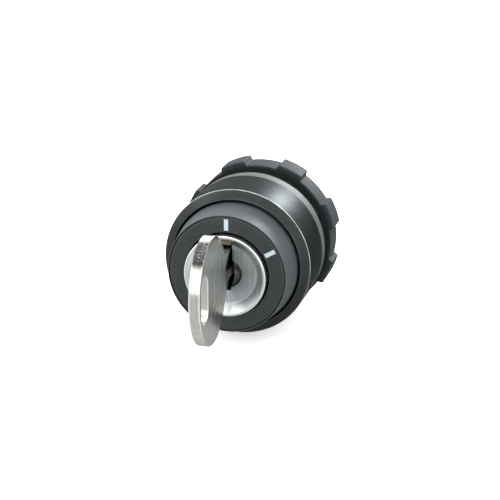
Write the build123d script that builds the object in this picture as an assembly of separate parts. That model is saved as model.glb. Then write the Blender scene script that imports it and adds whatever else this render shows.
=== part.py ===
"""Key-operated two-position selector switch for a 22 mm panel hole.

The axis of the switch is +Y. The key side faces -Y, +Z is up, and the origin is the centre of the
panel hole at the face of the panel that the gasket presses on. Every length is in millimetres.
Most pieces are turned, so each is a closed profile of (radius, axial position) points.
"""

from build123d import *
import math
import os

# ---- driving dimensions -------------------------------------------------------------------------
NECK_R = 11.0  # plain part of the neck, for a 22.3 or 22.5 mm hole
NECK_END = 15.5
PILOT_LENGTH = 1.6
RELIEF_R = 10.5  # groove in the neck behind the flange
CREST_R = 10.9
ROOT_R = 10.1
THREAD_PITCH = 1.5
GASKET_THICKNESS = 0.8
GASKET_R = 14.8

FLANGE_R = 15.1
FLANGE_FRONT = -3.6
BOSS_R = 13.8
BOSS_FRONT = -11.1
TUBE_BORE_R = 8.65
CHAMBER_R = 9.4

SHROUD_FRONT_EDGE = -13.65
COLLAR_FRONT = -21.0
COLLAR_TIP_R = 12.05
COLLAR_FLANK_R = 12.75
INDEX_BORE_R = 8.65
CAP_R = 8.3
CAP_RIM = -22.4
DISH_FLOOR = -20.3
DISH_FLOOR_R = 6.0
DIMPLE_R = 2.95
DIMPLE_DEPTH = 1.3

MARK_WIDTH = 0.85
MARK_ANGLES = (0.0, 60.0)  # from +Z towards +X, one mark for each key position

BARREL_BORE_R = 7.05
PLUG_R = 7.0
PLUG_FRONT = -18.7
PLUG_REAR = 2.6
JOURNAL_R = 5.5
TAIL_WIDTH = 5.0
TAIL_END = 8.6

WAFER_PITCH = 3.0
WAFER_COUNT = 5
FIRST_WAFER_Y = -14.5
WAFER_THICKNESS = 1.4

KEY_THICKNESS = 2.2  # of the bow; the blade is milled down on both faces
BLADE_X = (-0.9, 0.75)
BOW_CENTRE = (-33.2, 1.0)
BOW_HALF_LENGTH = 8.7
BOW_HALF_HEIGHT = 10.75
BOW_HOLE_CENTRE = (-38.5, 1.2)
BOW_HOLE_SIZE = (10.2, 5.1)
SHOULDER_Y = -24.9  # the milled blade begins here
UPPER_GROOVE_X = 0.4
LOWER_GROOVE_X = 0.1
BLADE_BOTTOM = -3.2
BLADE_TOP = 5.4
BLADE_TIP = 1.6
BITTING_DEPTHS = (0.7, 1.2, 0.9, 1.4, 0.8)

STROKE = 3.0  # plunger travel over the turn of the key
TURN_ANGLE = 60.0
PLUNGER_CENTRE_R = 6.9
PLUNGER_R = 1.8
STEM_R = 1.2
RAMP_MID_Y = 8.6
CAM_FACE = 6.6
GUIDE_FRONT = 14.2
SPRING_SEAT = 16.2
GUIDE_REAR = 17.4

NUT_FRONT = 2.8
NUT_REAR = 8.05
NUT_R = 15.45
LUG_R = 16.4
LUG_COUNT = 8
LUG_WIDTH_ANGLE = 18.0
FIRST_LUG_ANGLE = 24.0
NUT_BORE_R = 10.97
WASHER_FRONT = 2.1


# ---- helpers --------------------------------------------------------------------------------------
def turned(points):
    """A solid of revolution about the Y axis from a closed (radius, axial) profile."""
    profile = make_face(Polyline(*[(r, y) for r, y in points], close=True))
    return revolve(profile, Axis.Y)


def block(x_range, y_range, z_range):
    """A box between two values on each axis."""
    lows, highs = zip(x_range, y_range, z_range)
    size = [high - low for low, high in zip(lows, highs)]
    middle = [(low + high) / 2 for low, high in zip(lows, highs)]
    return Pos(*middle) * Box(*size)


def rod(radius, y_from, y_to, x=0.0, z=0.0):
    """A cylinder along Y."""
    middle = Pos(x, (y_from + y_to) / 2, z)
    return middle * Rot(90, 0, 0) * Cylinder(radius, y_to - y_from)


def turned_by(shape, angle):
    """The shape turned about +Y, which carries +Z towards +X."""
    return Rot(0, angle, 0) * shape


def coil_spring(coil_r, wire_r, length, turns):
    """A round-wire compression spring that stands on the XY plane, from z = 0 to z = length."""
    height = length - 2 * wire_r
    path = Helix(height / turns, height, coil_r)
    section = Plane(path @ 0, z_dir=path % 0) * Circle(wire_r)
    return Pos(0, 0, wire_r) * sweep(section, path, is_frenet=True)


def group(shapes):
    """Separate solids that share one node."""
    return Compound(children=list(shapes))


# ---- fixed pieces -----------------------------------------------------------------------------------
def make_housing():
    """Cast body: mounting flange, front boss, barrel tube, and threaded neck."""
    profile = [
        (TUBE_BORE_R, -15.3),
        (10.2, -15.3),
        (10.2, -4.8),
        (11.6, -4.8),
        (11.6, BOSS_FRONT),
        (BOSS_R - 0.3, BOSS_FRONT),
        (BOSS_R, BOSS_FRONT + 0.3),
        (BOSS_R, FLANGE_FRONT),
        (FLANGE_R - 0.05, FLANGE_FRONT),
        (FLANGE_R - 0.1, -0.95),
        (FLANGE_R - 0.25, -GASKET_THICKNESS),
        (RELIEF_R, -GASKET_THICKNESS),
        (RELIEF_R, 0.0),
        (NECK_R, 0.0),
        (NECK_R, PILOT_LENGTH),
        (ROOT_R, PILOT_LENGTH),
    ]
    first_ring = PILOT_LENGTH + 0.4
    for k in range(int((NECK_END - first_ring) / THREAD_PITCH)):
        start = first_ring + k * THREAD_PITCH
        profile += [
            (ROOT_R, start),
            (CREST_R, start + 0.45 * THREAD_PITCH),
            (CREST_R, start + 0.57 * THREAD_PITCH),
            (ROOT_R, start + THREAD_PITCH),
        ]
    profile += [
        (ROOT_R, NECK_END),
        (CHAMBER_R, NECK_END),
        (CHAMBER_R, PLUG_REAR),
        (TUBE_BORE_R, PLUG_REAR),
    ]
    # neighbouring thread rings share a root point, which the outline states once
    outline = [p for p, q in zip(profile, profile[1:] + profile[:1]) if p != q]
    return turned(outline)


def make_bezel_shroud():
    """Sheet-metal shroud with a slightly conical front and a raised lip round the collar."""
    return turned(
        [
            (FLANGE_R, SHROUD_FRONT_EDGE + 0.22),
            (FLANGE_R - 0.06, SHROUD_FRONT_EDGE + 0.07),
            (FLANGE_R - 0.22, SHROUD_FRONT_EDGE),
            (14.5, -13.88),
            (13.55, -14.45),
            (13.4, -14.72),
            (13.25, -14.72),
            (12.9, -14.1),
            (12.9, -13.1),
            (BOSS_R + 0.05, -13.1),
            (BOSS_R + 0.05, FLANGE_FRONT),
            (FLANGE_R, FLANGE_FRONT),
        ]
    )


def make_front_collar():
    """Tapered collar that frames the lock, with a seat for the index ring and a seal groove."""
    return turned(
        [
            (COLLAR_TIP_R - 0.1, COLLAR_FRONT),
            (COLLAR_TIP_R, COLLAR_FRONT + 0.12),
            (COLLAR_FLANK_R, -15.0),
            (COLLAR_FLANK_R, -12.3),
            (13.6, -12.3),
            (13.6, BOSS_FRONT),
            (10.3, BOSS_FRONT),
            (10.3, -16.5),
            (8.95, -16.5),
            (8.95, -17.2),
            (9.6, -17.2),
            (9.6, -18.6),
            (8.95, -18.6),
            (8.95, COLLAR_FRONT + 1.0),
            (11.85, COLLAR_FRONT + 1.0),
            (11.85, COLLAR_FRONT),
        ]
    )


def make_position_marks(inset):
    """The two inlaid marks on the index ring; inset is the depth of the pocket each one fills."""
    bar = block(
        (-MARK_WIDTH / 2, MARK_WIDTH / 2),
        (COLLAR_FRONT - 0.02, COLLAR_FRONT + inset),
        (9.05, 11.3),
    )
    return [turned_by(bar, angle) for angle in MARK_ANGLES]


def make_index_ring(marks):
    """Flat ring that carries the position marks in shallow pockets."""
    ring = turned(
        [
            (INDEX_BORE_R, COLLAR_FRONT),
            (11.7, COLLAR_FRONT),
            (11.7, COLLAR_FRONT + 1.0),
            (INDEX_BORE_R, COLLAR_FRONT + 1.0),
        ]
    )
    for mark in marks:
        ring -= mark
    return ring


def make_face_seal():
    """Lip seal between the collar and the turning cap."""
    return turned(
        [
            (9.55, -18.55),
            (9.55, -17.25),
            (8.9, -17.25),
            (CAP_R + 0.06, -17.9),
            (CAP_R + 0.06, -18.2),
            (8.9, -18.55),
        ]
    )


def make_collar_o_ring():
    """Round-section ring squeezed between the collar flange and the shroud."""
    section = Pos(13.2, -12.7) * Circle(0.38)
    return revolve(section, Axis.Y)


def make_lock_barrel():
    """Stationary lock barrel with two wafer channels and a groove for its retaining ring."""
    barrel = turned(
        [
            (BARREL_BORE_R, -16.5),
            (10.0, -16.5),
            (10.0, -15.3),
            (8.6, -15.3),
            (8.6, PLUG_REAR + 0.05),
            (8.0, PLUG_REAR + 0.05),
            (8.0, 3.45),
            (8.6, 3.45),
            (8.6, 4.0),
            (JOURNAL_R + 0.05, 4.0),
            (JOURNAL_R + 0.05, 2.8),
            (BARREL_BORE_R, 2.8),
        ]
    )
    channel = rod(7.9, -16.0, -1.0) & block((-4.5, 4.5), (-16.0, -1.0), (-8.0, 8.0))
    return barrel - channel


def make_barrel_clip():
    """Split retaining ring behind the housing step."""
    ring = turned([(8.02, 2.66), (9.3, 2.66), (9.3, 3.44), (8.02, 3.44)])
    return ring - block((-1.6, 1.6), (2.0, 4.0), (-10.0, -7.0))


def make_panel_gasket():
    """Flat gasket between the flange and the panel."""
    return turned(
        [
            (NECK_R + 0.15, -GASKET_THICKNESS),
            (GASKET_R, -GASKET_THICKNESS),
            (GASKET_R, 0.0),
            (NECK_R + 0.15, 0.0),
        ]
    )


def make_rear_guide():
    """Guide pressed into the neck; it holds the two plungers and seats their springs."""
    guide = turned(
        [
            (2.0, GUIDE_FRONT),
            (CHAMBER_R, GUIDE_FRONT),
            (CHAMBER_R, NECK_END),
            (10.2, NECK_END),
            (10.2, GUIDE_REAR - 0.4),
            (9.8, GUIDE_REAR),
            (2.0, GUIDE_REAR),
        ]
    )
    for side in (-1, 1):
        x = side * PLUNGER_CENTRE_R
        guide -= rod(STEM_R + 0.05, GUIDE_FRONT - 1, GUIDE_REAR + 1, x=x)
        guide -= rod(PLUNGER_R + 0.1, GUIDE_FRONT - 1, SPRING_SEAT, x=x)
    return guide


# ---- pieces that turn with the key ----------------------------------------------------------------
def keyway(x_range, y_range):
    """Slot that the blade slides in, taller than the blade by a clearance at each edge."""
    return block(x_range, y_range, (BLADE_BOTTOM - 0.3, BLADE_TOP + 0.6))


def make_slot_pointer():
    """Small inlay in the wall of the dish, above the keyway, that points at the marks."""
    return block((-0.95, 0.95), (-21.35, -19.8), (6.2, 7.55))


def make_face_cap():
    """Dished cap over the front of the lock plug, with the keyway cut through its floor."""
    edge = [
        (CAP_R, -17.5),
        (CAP_R, CAP_RIM + 0.3),
        (CAP_R - 0.09, CAP_RIM + 0.09),
        (CAP_R - 0.3, CAP_RIM),
        (CAP_R - 0.42, CAP_RIM + 0.03),
        (CAP_R - 0.55, CAP_RIM + 0.16),
        (DISH_FLOOR_R + 0.25, DISH_FLOOR - 0.2),
        (DISH_FLOOR_R, DISH_FLOOR),
    ]
    # the shallow centre depression follows a circular arc
    depth, half = DIMPLE_DEPTH, DIMPLE_R
    arc_r = (half**2 + depth**2) / (2 * depth)
    for step in range(7):
        r = half * (1 - step / 6)
        sag = math.sqrt(arc_r**2 - r**2) - (arc_r - depth)
        edge.append((r, DISH_FLOOR + sag))
    back = [(0.0, PLUG_FRONT), (PLUG_R + 0.02, PLUG_FRONT), (PLUG_R + 0.02, -17.5)]
    cap = turned(edge + back)
    slot = [(-1.1, -3.5), (0.72, -3.5), (1.15, -1.0), (1.15, 1.0), (1.0, 6.0), (-1.1, 6.0)]
    cap -= extrude(Plane.XZ.offset(-PLUG_FRONT - 1) * make_face(Polyline(*slot, close=True)), 6)
    return cap - block((-0.95, 0.95), (CAP_RIM - 1, -19.8), (6.2, 7.55))


def wafer_slot(y):
    """Slot through the plug for one wafer, with a side pocket for its spring."""
    half = (WAFER_THICKNESS + 0.1) / 2
    slot = block((-4.4, 4.4), (y - half, y + half), (-8.0, 8.0))
    return slot + block((4.4, 6.25), (y - half, y + half), (-2.8, 2.6))


def wafer_positions():
    """Axial position of each wafer."""
    return [FIRST_WAFER_Y + k * WAFER_PITCH for k in range(WAFER_COUNT)]


def make_lock_plug():
    """Lock plug: keyway, wafer slots, rear journal with a ring groove, and a square tail."""
    plug = turned(
        [
            (0.0, PLUG_FRONT),
            (PLUG_R, PLUG_FRONT),
            (PLUG_R, PLUG_REAR),
            (JOURNAL_R, PLUG_REAR),
            (JOURNAL_R, 4.15),
            (4.9, 4.15),
            (4.9, 4.85),
            (JOURNAL_R, 4.85),
            (JOURNAL_R, 5.05),
            (0.0, 5.05),
        ]
    )
    half = TAIL_WIDTH / 2
    plug += block((-half, half), (5.0, TAIL_END), (-half, half))
    slot_x = (BLADE_X[0] - 0.1, BLADE_X[1] + 0.1)
    plug -= keyway(slot_x, (PLUG_FRONT - 1, BLADE_TIP + 0.3))
    plug -= rod(1.25, 3.2, TAIL_END + 1)
    for y in wafer_positions():
        plug -= wafer_slot(y)
    return plug


def make_wafer_tumblers():
    """Flat wafers, each with a window for the blade and an ear that its spring pushes."""
    wafers = []
    half = WAFER_THICKNESS / 2
    for y in wafer_positions():
        body = block((-4.3, 4.3), (y - half, y + half), (-7.0, 7.0))
        body &= rod(PLUG_R - 0.08, y - half, y + half)
        body += block((4.2, 5.95), (y - half, y + half), (0.6, 1.8))
        window = block((-1.2, 1.0), (y - 1, y + 1), (BLADE_BOTTOM - 0.15, BLADE_TOP + 0.3))
        wafers.append(body - window)
    return wafers


def make_wafer_springs():
    """One small coil spring under the ear of each wafer."""
    spring = coil_spring(0.5, 0.12, 3.35, 5)
    return [Pos(5.2, y, -2.77) * spring for y in wafer_positions()]


def make_plug_clip():
    """Split retaining ring on the journal, behind the barrel's rear wall."""
    ring = turned([(4.93, 4.2), (6.5, 4.2), (6.5, 4.8), (4.93, 4.8)])
    return ring - block((-1.2, 1.2), (4.0, 5.0), (-7.0, -4.0))


def make_drive_cam():
    """Cam with two inclined ramps, half a turn apart, that push the plungers to the rear."""
    cam = rod(9.1, 5.2, CAM_FACE) + rod(4.7, CAM_FACE, TAIL_END)
    slope = STROKE / PLUNGER_CENTRE_R
    for side in (0, 180):
        middle = math.radians(side + 90 - TURN_ANGLE / 2)
        sector = rod(9.1, CAM_FACE - 0.2, 14.0) - rod(4.9, CAM_FACE - 1, 15.0)
        bounds = (middle - 0.87, middle, middle + 0.87)
        ray = [(20 * math.sin(a), 20 * math.cos(a)) for a in bounds]
        wedge = make_face(Plane.XZ * Polyline((0, 0), *ray, close=True))
        sector &= extrude(wedge, 20, both=True)
        along = (math.cos(middle), -math.sin(middle))
        rise = Plane(
            origin=(0, RAMP_MID_Y, 0),
            z_dir=(slope * along[0], 1, slope * along[1]),
        )
        sector -= rise * Box(60, 60, 20, align=(Align.CENTER, Align.CENTER, Align.MIN))
        cam += sector
    hole = TAIL_WIDTH / 2 + 0.03
    return cam - block((-hole, hole), (5.0, TAIL_END + 1), (-hole, hole))


def make_cam_washer():
    """Plain washer under the head of the cam screw."""
    return rod(3.4, TAIL_END, TAIL_END + 0.5) - rod(1.35, TAIL_END - 1, TAIL_END + 1)


def make_cam_screw():
    """Pan-head screw with a slot, into the tail of the plug."""
    top = TAIL_END + 0.5
    screw = rod(1.2, 3.4, top) + turned(
        [(0.0, top), (2.75, top), (2.75, top + 1.0), (2.2, top + 1.7), (0.0, top + 1.8)]
    )
    return screw - block((-3.0, 3.0), (top + 1.0, top + 2.0), (-0.35, 0.35))


# ---- key ---------------------------------------------------------------------------------------------
def make_key():
    """Flat key: oval bow with an oblong hole, and a milled, grooved blade with five cuts."""
    bow = Pos(*BOW_CENTRE) * Ellipse(BOW_HALF_LENGTH, BOW_HALF_HEIGHT)
    bow -= Pos(*BOW_HOLE_CENTRE) * SlotOverall(*BOW_HOLE_SIZE, rotation=90)
    blade_outline = [
        (-30.0, BLADE_BOTTOM),
        (BLADE_TIP - 1.8, BLADE_BOTTOM),
        (BLADE_TIP, 0.2),
        (BLADE_TIP, 2.0),
        (BLADE_TIP - 1.8, BLADE_TOP),
        (-30.0, BLADE_TOP),
    ]
    outline = bow + make_face(Polyline(*blade_outline, close=True))
    for y, depth in zip(wafer_positions(), BITTING_DEPTHS):
        bottom = BLADE_BOTTOM + depth
        cut = [
            (y - 1.3, BLADE_BOTTOM - 1),
            (y - 0.45, bottom),
            (y + 0.45, bottom),
            (y + 1.3, BLADE_BOTTOM - 1),
        ]
        outline -= make_face(Polyline(*cut, close=True))
    half = KEY_THICKNESS / 2
    key = extrude(Plane.YZ * outline, half, both=True)
    rims = [e for e in key.edges() if e.center().Y < -26 and abs(abs(e.center().X) - half) < 1e-3]
    key = chamfer(rims, 0.22)
    key -= block((BLADE_X[1], half + 1), (SHOULDER_Y, 3.0), (-8.0, 8.0))
    key -= block((-half - 1, BLADE_X[0]), (SHOULDER_Y, 3.0), (-8.0, 8.0))
    # both grooves of the right side run out towards the bow at a slant
    upper = [(-21.3, 5.0), (-24.8, 1.4), (3.0, 1.4), (3.0, 5.0)]
    lower = [(-21.5, -0.4), (-25.2, -4.0), (3.0, -4.0), (3.0, -0.4)]
    for outline, floor in ((upper, UPPER_GROOVE_X), (lower, LOWER_GROOVE_X)):
        key -= extrude(Plane.YZ.offset(floor) * make_face(Polyline(*outline, close=True)), 2)
    key -= block((-half, BLADE_X[0] + 0.3), (-20.0, 3.0), (-0.9, 0.5))
    return key


# ---- plungers ----------------------------------------------------------------------------------------
def plunger_geometry():
    """Axial position of the centre of the plunger's round tip, and of the shoulder behind it."""
    slope = STROKE / PLUNGER_CENTRE_R
    contact = RAMP_MID_Y - STROKE / 2
    tip = contact + PLUNGER_R * math.hypot(1, slope) + 0.03
    return tip, tip + 1.9


def make_plunger(side):
    """Round-nosed plunger that rides on a ramp, with a stem through the guide."""
    tip, shoulder = plunger_geometry()
    x = side * PLUNGER_CENTRE_R
    nose = Pos(x, tip, 0) * Sphere(PLUNGER_R)
    barrel = rod(PLUNGER_R, tip, shoulder, x=x)
    return nose + barrel + rod(STEM_R, shoulder - 0.5, GUIDE_REAR + 1.0, x=x)


def make_plunger_spring(side):
    """Return spring between the plunger's shoulder and the guide."""
    shoulder = plunger_geometry()[1]
    spring = coil_spring(1.5, 0.2, SPRING_SEAT - shoulder - 0.04, 4.5)
    return Pos(side * PLUNGER_CENTRE_R, shoulder + 0.02, 0) * Rot(-90, 0, 0) * spring


# ---- fastening ---------------------------------------------------------------------------------------
def make_lock_washer():
    """Thin washer with a notched rim, between the nut and the panel."""
    washer = rod(14.0, WASHER_FRONT, NUT_FRONT) - rod(11.15, WASHER_FRONT - 1, NUT_FRONT + 1)
    notch = block((-0.6, 0.6), (WASHER_FRONT - 1, NUT_FRONT + 1), (13.2, 15.0))
    for k in range(16):
        washer -= turned_by(notch, 360 * k / 16)
    return washer


def make_mounting_nut():
    """Ring nut with eight grip lugs round its rim."""
    nut = turned(
        [
            (NUT_BORE_R + 0.5, NUT_FRONT),
            (NUT_R - 0.35, NUT_FRONT),
            (NUT_R, NUT_FRONT + 0.35),
            (NUT_R, NUT_REAR - 0.35),
            (NUT_R - 0.35, NUT_REAR),
            (NUT_BORE_R + 0.5, NUT_REAR),
            (NUT_BORE_R, NUT_REAR - 0.5),
            (NUT_BORE_R, NUT_FRONT + 0.5),
        ]
    )
    lug = turned(
        [
            (NUT_R - 1.5, NUT_FRONT),
            (LUG_R - 0.3, NUT_FRONT),
            (LUG_R, NUT_FRONT + 0.3),
            (LUG_R, NUT_REAR - 0.3),
            (LUG_R - 0.3, NUT_REAR),
            (NUT_R - 1.5, NUT_REAR),
        ]
    )
    half = math.radians(LUG_WIDTH_ANGLE / 2)
    base = math.radians(LUG_WIDTH_ANGLE / 2 + 1.6)
    side = [
        (-NUT_R * math.sin(base), (NUT_R - 0.2) * math.cos(base)),
        (-LUG_R * math.sin(half), LUG_R * math.cos(half) + 0.5),
        (LUG_R * math.sin(half), LUG_R * math.cos(half) + 0.5),
        (NUT_R * math.sin(base), (NUT_R - 0.2) * math.cos(base)),
        (0.0, 12.0),
    ]
    wedge = extrude(make_face(Plane.XZ * Polyline(*side, close=True)), 40, both=True)
    lug &= wedge
    for k in range(LUG_COUNT):
        nut += turned_by(lug, FIRST_LUG_ANGLE + 360 * k / LUG_COUNT)
    return nut


# ---- all pieces, one file each -----------------------------------------------------------------------
mark_bars = make_position_marks(0.3)
pieces = {
    "housing": make_housing(),
    "bezel_shroud": make_bezel_shroud(),
    "front_collar": make_front_collar(),
    "index_ring": make_index_ring(mark_bars),
    "position_marks": group(mark_bars),
    "face_seal": make_face_seal(),
    "collar_o_ring": make_collar_o_ring(),
    "lock_barrel": make_lock_barrel(),
    "barrel_clip": make_barrel_clip(),
    "panel_gasket": make_panel_gasket(),
    "rear_guide": make_rear_guide(),
    "face_cap": make_face_cap(),
    "slot_pointer": make_slot_pointer(),
    "lock_plug": make_lock_plug(),
    "wafer_tumblers": group(make_wafer_tumblers()),
    "wafer_springs": group(make_wafer_springs()),
    "plug_clip": make_plug_clip(),
    "drive_cam": make_drive_cam(),
    "cam_washer": make_cam_washer(),
    "cam_screw": make_cam_screw(),
    "key": make_key(),
    "plunger_left": make_plunger(-1),
    "plunger_right": make_plunger(1),
    "plunger_spring_left": make_plunger_spring(-1),
    "plunger_spring_right": make_plunger_spring(1),
    "lock_washer": make_lock_washer(),
    "mounting_nut": make_mounting_nut(),
}

os.makedirs("parts", exist_ok=True)
for node, shape in pieces.items():
    export_step(shape, f"parts/{node}.step")
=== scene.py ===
"""Looks of a key-operated selector switch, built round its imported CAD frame.

The switch's axis is +Y, its key side faces -Y, and +Z is up. Sizes in the classes are millimetres and
meshes are metres. Angles about the axis are measured from +Z towards +X.
"""

import logging
import math
from collections.abc import Callable, Sequence
from dataclasses import dataclass
from enum import Enum

import bmesh
import bpy
import numpy as np
from mathutils import Matrix, Vector
from mathutils.geometry import tessellate_polygon


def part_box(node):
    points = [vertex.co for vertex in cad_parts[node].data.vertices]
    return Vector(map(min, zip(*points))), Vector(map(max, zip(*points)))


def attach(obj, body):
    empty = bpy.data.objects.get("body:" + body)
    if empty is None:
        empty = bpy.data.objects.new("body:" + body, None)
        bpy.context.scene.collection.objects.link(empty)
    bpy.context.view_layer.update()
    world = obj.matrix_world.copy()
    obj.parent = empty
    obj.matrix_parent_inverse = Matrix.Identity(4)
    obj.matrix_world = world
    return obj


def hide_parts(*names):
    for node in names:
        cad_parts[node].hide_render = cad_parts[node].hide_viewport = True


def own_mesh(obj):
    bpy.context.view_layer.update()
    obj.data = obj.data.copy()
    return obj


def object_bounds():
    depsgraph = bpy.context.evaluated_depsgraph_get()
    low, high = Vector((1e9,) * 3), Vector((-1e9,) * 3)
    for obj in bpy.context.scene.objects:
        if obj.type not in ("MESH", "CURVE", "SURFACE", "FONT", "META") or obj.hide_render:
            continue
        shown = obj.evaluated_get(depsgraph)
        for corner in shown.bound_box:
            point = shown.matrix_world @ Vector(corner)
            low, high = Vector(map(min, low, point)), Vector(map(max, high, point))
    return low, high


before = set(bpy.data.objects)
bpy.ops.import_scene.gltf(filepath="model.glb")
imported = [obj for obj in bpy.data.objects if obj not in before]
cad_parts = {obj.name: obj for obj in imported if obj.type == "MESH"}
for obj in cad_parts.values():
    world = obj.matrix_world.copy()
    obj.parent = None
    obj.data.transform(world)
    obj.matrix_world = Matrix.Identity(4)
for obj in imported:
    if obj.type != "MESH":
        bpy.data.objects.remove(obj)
CAD_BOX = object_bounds()
MM = 0.001
MERGE_DISTANCE = 1e-7
SHARP_ANGLE = 35.0
LOG = logging.getLogger("selector_switch")
Colour = tuple[float, float, float]
PAINTED_SHADE_STREAK = 0.72  # darkest streak of the painted shade, as a share of its colour
PAINTED_SHADE_ROUGHER = 0.12
PAINTED_DARK_TONE = 0.07  # painted darkness as a share of the finish's shade colour


# ---- finishes --------------------------------------------------------------------------------------
class Texture(Enum):
    """How a finish's fine marks run."""

    MOULDED = "moulded"
    TURNED = "turned"
    DRAWN = "drawn"
    BRUSHED = "brushed"
    CAST = "cast"


@dataclass(frozen=True)
class Finish:
    """One surface finish: colours, gloss, and the scale and depth of its fine marks."""

    name: str
    colour: Colour
    shade: Colour
    roughness: tuple[float, float]
    metallic: float = 0.0
    texture: Texture = Texture.MOULDED
    fineness: float = 900.0
    relief: float = 0.02
    wear: float = 0.0
    wear_colour: Colour = (0.7, 0.7, 0.7)
    specular: float = 0.5
    tint: float = 1.0
    contrast: tuple[float, float] = (0.86, 1.08)
    # strength of the painted darkness: painted shade and painted dark reflections where the piece's
    # attribute marks them
    painted_dark: float = 0.0
    # painted shade colour, laid where the piece's attribute marks it, which also makes the surface rougher
    rough_painted_shade: Colour | None = None


class Finishes:
    """Every finish of the switch."""

    BEZEL = Finish("gunmetal_bezel", (0.045, 0.049, 0.050), (0.036, 0.039, 0.040), (0.34, 0.46), 1.0,
                   Texture.TURNED, 2600.0, 0.010, 0.8, (0.60, 0.62, 0.62), tint=0.42)
    FLANGE = Finish("satin_flange", (0.088, 0.101, 0.098), (0.070, 0.081, 0.079), (0.55, 0.66), 0.15,
                    Texture.TURNED, 2200.0, 0.008, 0.2, (0.2, 0.22, 0.22), specular=0.2, tint=0.6)
    COLLAR = Finish("collar_plastic", (0.050, 0.059, 0.063), (0.040, 0.047, 0.051), (0.50, 0.60), 0.0,
                    Texture.MOULDED, 1500.0, 0.012, 0.15, (0.14, 0.16, 0.17), specular=0.35)
    INDEX = Finish("index_plastic", (0.027, 0.032, 0.034), (0.021, 0.025, 0.027), (0.45, 0.58), 0.0,
                   Texture.MOULDED, 2200.0, 0.02, 0.2, (0.11, 0.12, 0.12), specular=0.4)
    MARK = Finish("mark_paint", (0.58, 0.67, 0.73), (0.50, 0.59, 0.65), (0.45, 0.6), 0.0,
                  Texture.MOULDED, 2600.0, 0.02)
    # satin chrome: its last colour is painted shade on the dish's floor and dimple, and its darkening
    # paints shade in the centre depression
    CHROME = Finish("satin_chrome", (0.84, 0.86, 0.87), (0.76, 0.79, 0.80), (0.24, 0.32), 1.0,
                    Texture.BRUSHED, 3400.0, 0.002, 0.3, (0.95, 0.95, 0.95), contrast=(0.86, 1.06),
                    painted_dark=0.95, rough_painted_shade=(0.50, 0.55, 0.57))
    # key nickel: its last colour is painted shade on the flat faces and milled blade, and its darkening
    # paints shade in the grooves and a dark reflection on the rim
    NICKEL = Finish("key_nickel", (0.75, 0.745, 0.71), (0.64, 0.63, 0.60), (0.12, 0.22), 1.0,
                    Texture.DRAWN, 3000.0, 0.008, 0.4, (0.88, 0.87, 0.84), contrast=(0.74, 1.14),
                    painted_dark=0.97, rough_painted_shade=(0.60, 0.60, 0.56))
    BRASS = Finish("lock_brass", (0.50, 0.37, 0.16), (0.36, 0.26, 0.11), (0.28, 0.42), 1.0,
                   Texture.TURNED, 2000.0, 0.01)
    # brass painted nearly black: painted shade of the plug seen through the keyway
    SHADOWED_BRASS = Finish("brass_painted_shade", (0.030, 0.023, 0.012), (0.012, 0.010, 0.006), (0.4, 0.55), 0.6,
                   Texture.CAST, 1800.0, 0.01)
    AGED = Finish("aged_brass", (0.155, 0.125, 0.065), (0.105, 0.083, 0.045), (0.5, 0.65), 0.0,
                  Texture.CAST, 2600.0, 0.02, 0.3, (0.22, 0.19, 0.11), specular=0.4)
    STEEL = Finish("spring_steel", (0.42, 0.42, 0.43), (0.33, 0.33, 0.34), (0.25, 0.4), 1.0,
                   Texture.TURNED, 2000.0, 0.01)
    # nut plastic: its last colour is painted shade on the front face behind the flange
    NUT = Finish("nut_plastic", (0.039, 0.047, 0.050), (0.031, 0.037, 0.040), (0.62, 0.74), 0.0,
                 Texture.MOULDED, 1300.0, 0.02, 0.15, (0.11, 0.13, 0.14), specular=0.08,
                 rough_painted_shade=(0.016, 0.018, 0.019))
    BLACK = Finish("black_plastic", (0.022, 0.022, 0.025), (0.016, 0.016, 0.018), (0.42, 0.55), 0.0,
                   Texture.MOULDED, 1500.0, 0.02)
    RUBBER = Finish("black_rubber", (0.008, 0.008, 0.008), (0.012, 0.012, 0.012), (0.65, 0.8), 0.0,
                    Texture.MOULDED, 1200.0, 0.03, specular=0.25)
    NATURAL = Finish("natural_plastic", (0.62, 0.60, 0.54), (0.52, 0.50, 0.45), (0.4, 0.5), 0.0,
                     Texture.MOULDED, 1500.0, 0.015)
    CASTING = Finish("zinc_casting", (0.26, 0.28, 0.285), (0.19, 0.205, 0.21), (0.38, 0.55), 0.85,
                     Texture.CAST, 700.0, 0.02, 0.5, (0.5, 0.52, 0.52))


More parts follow.
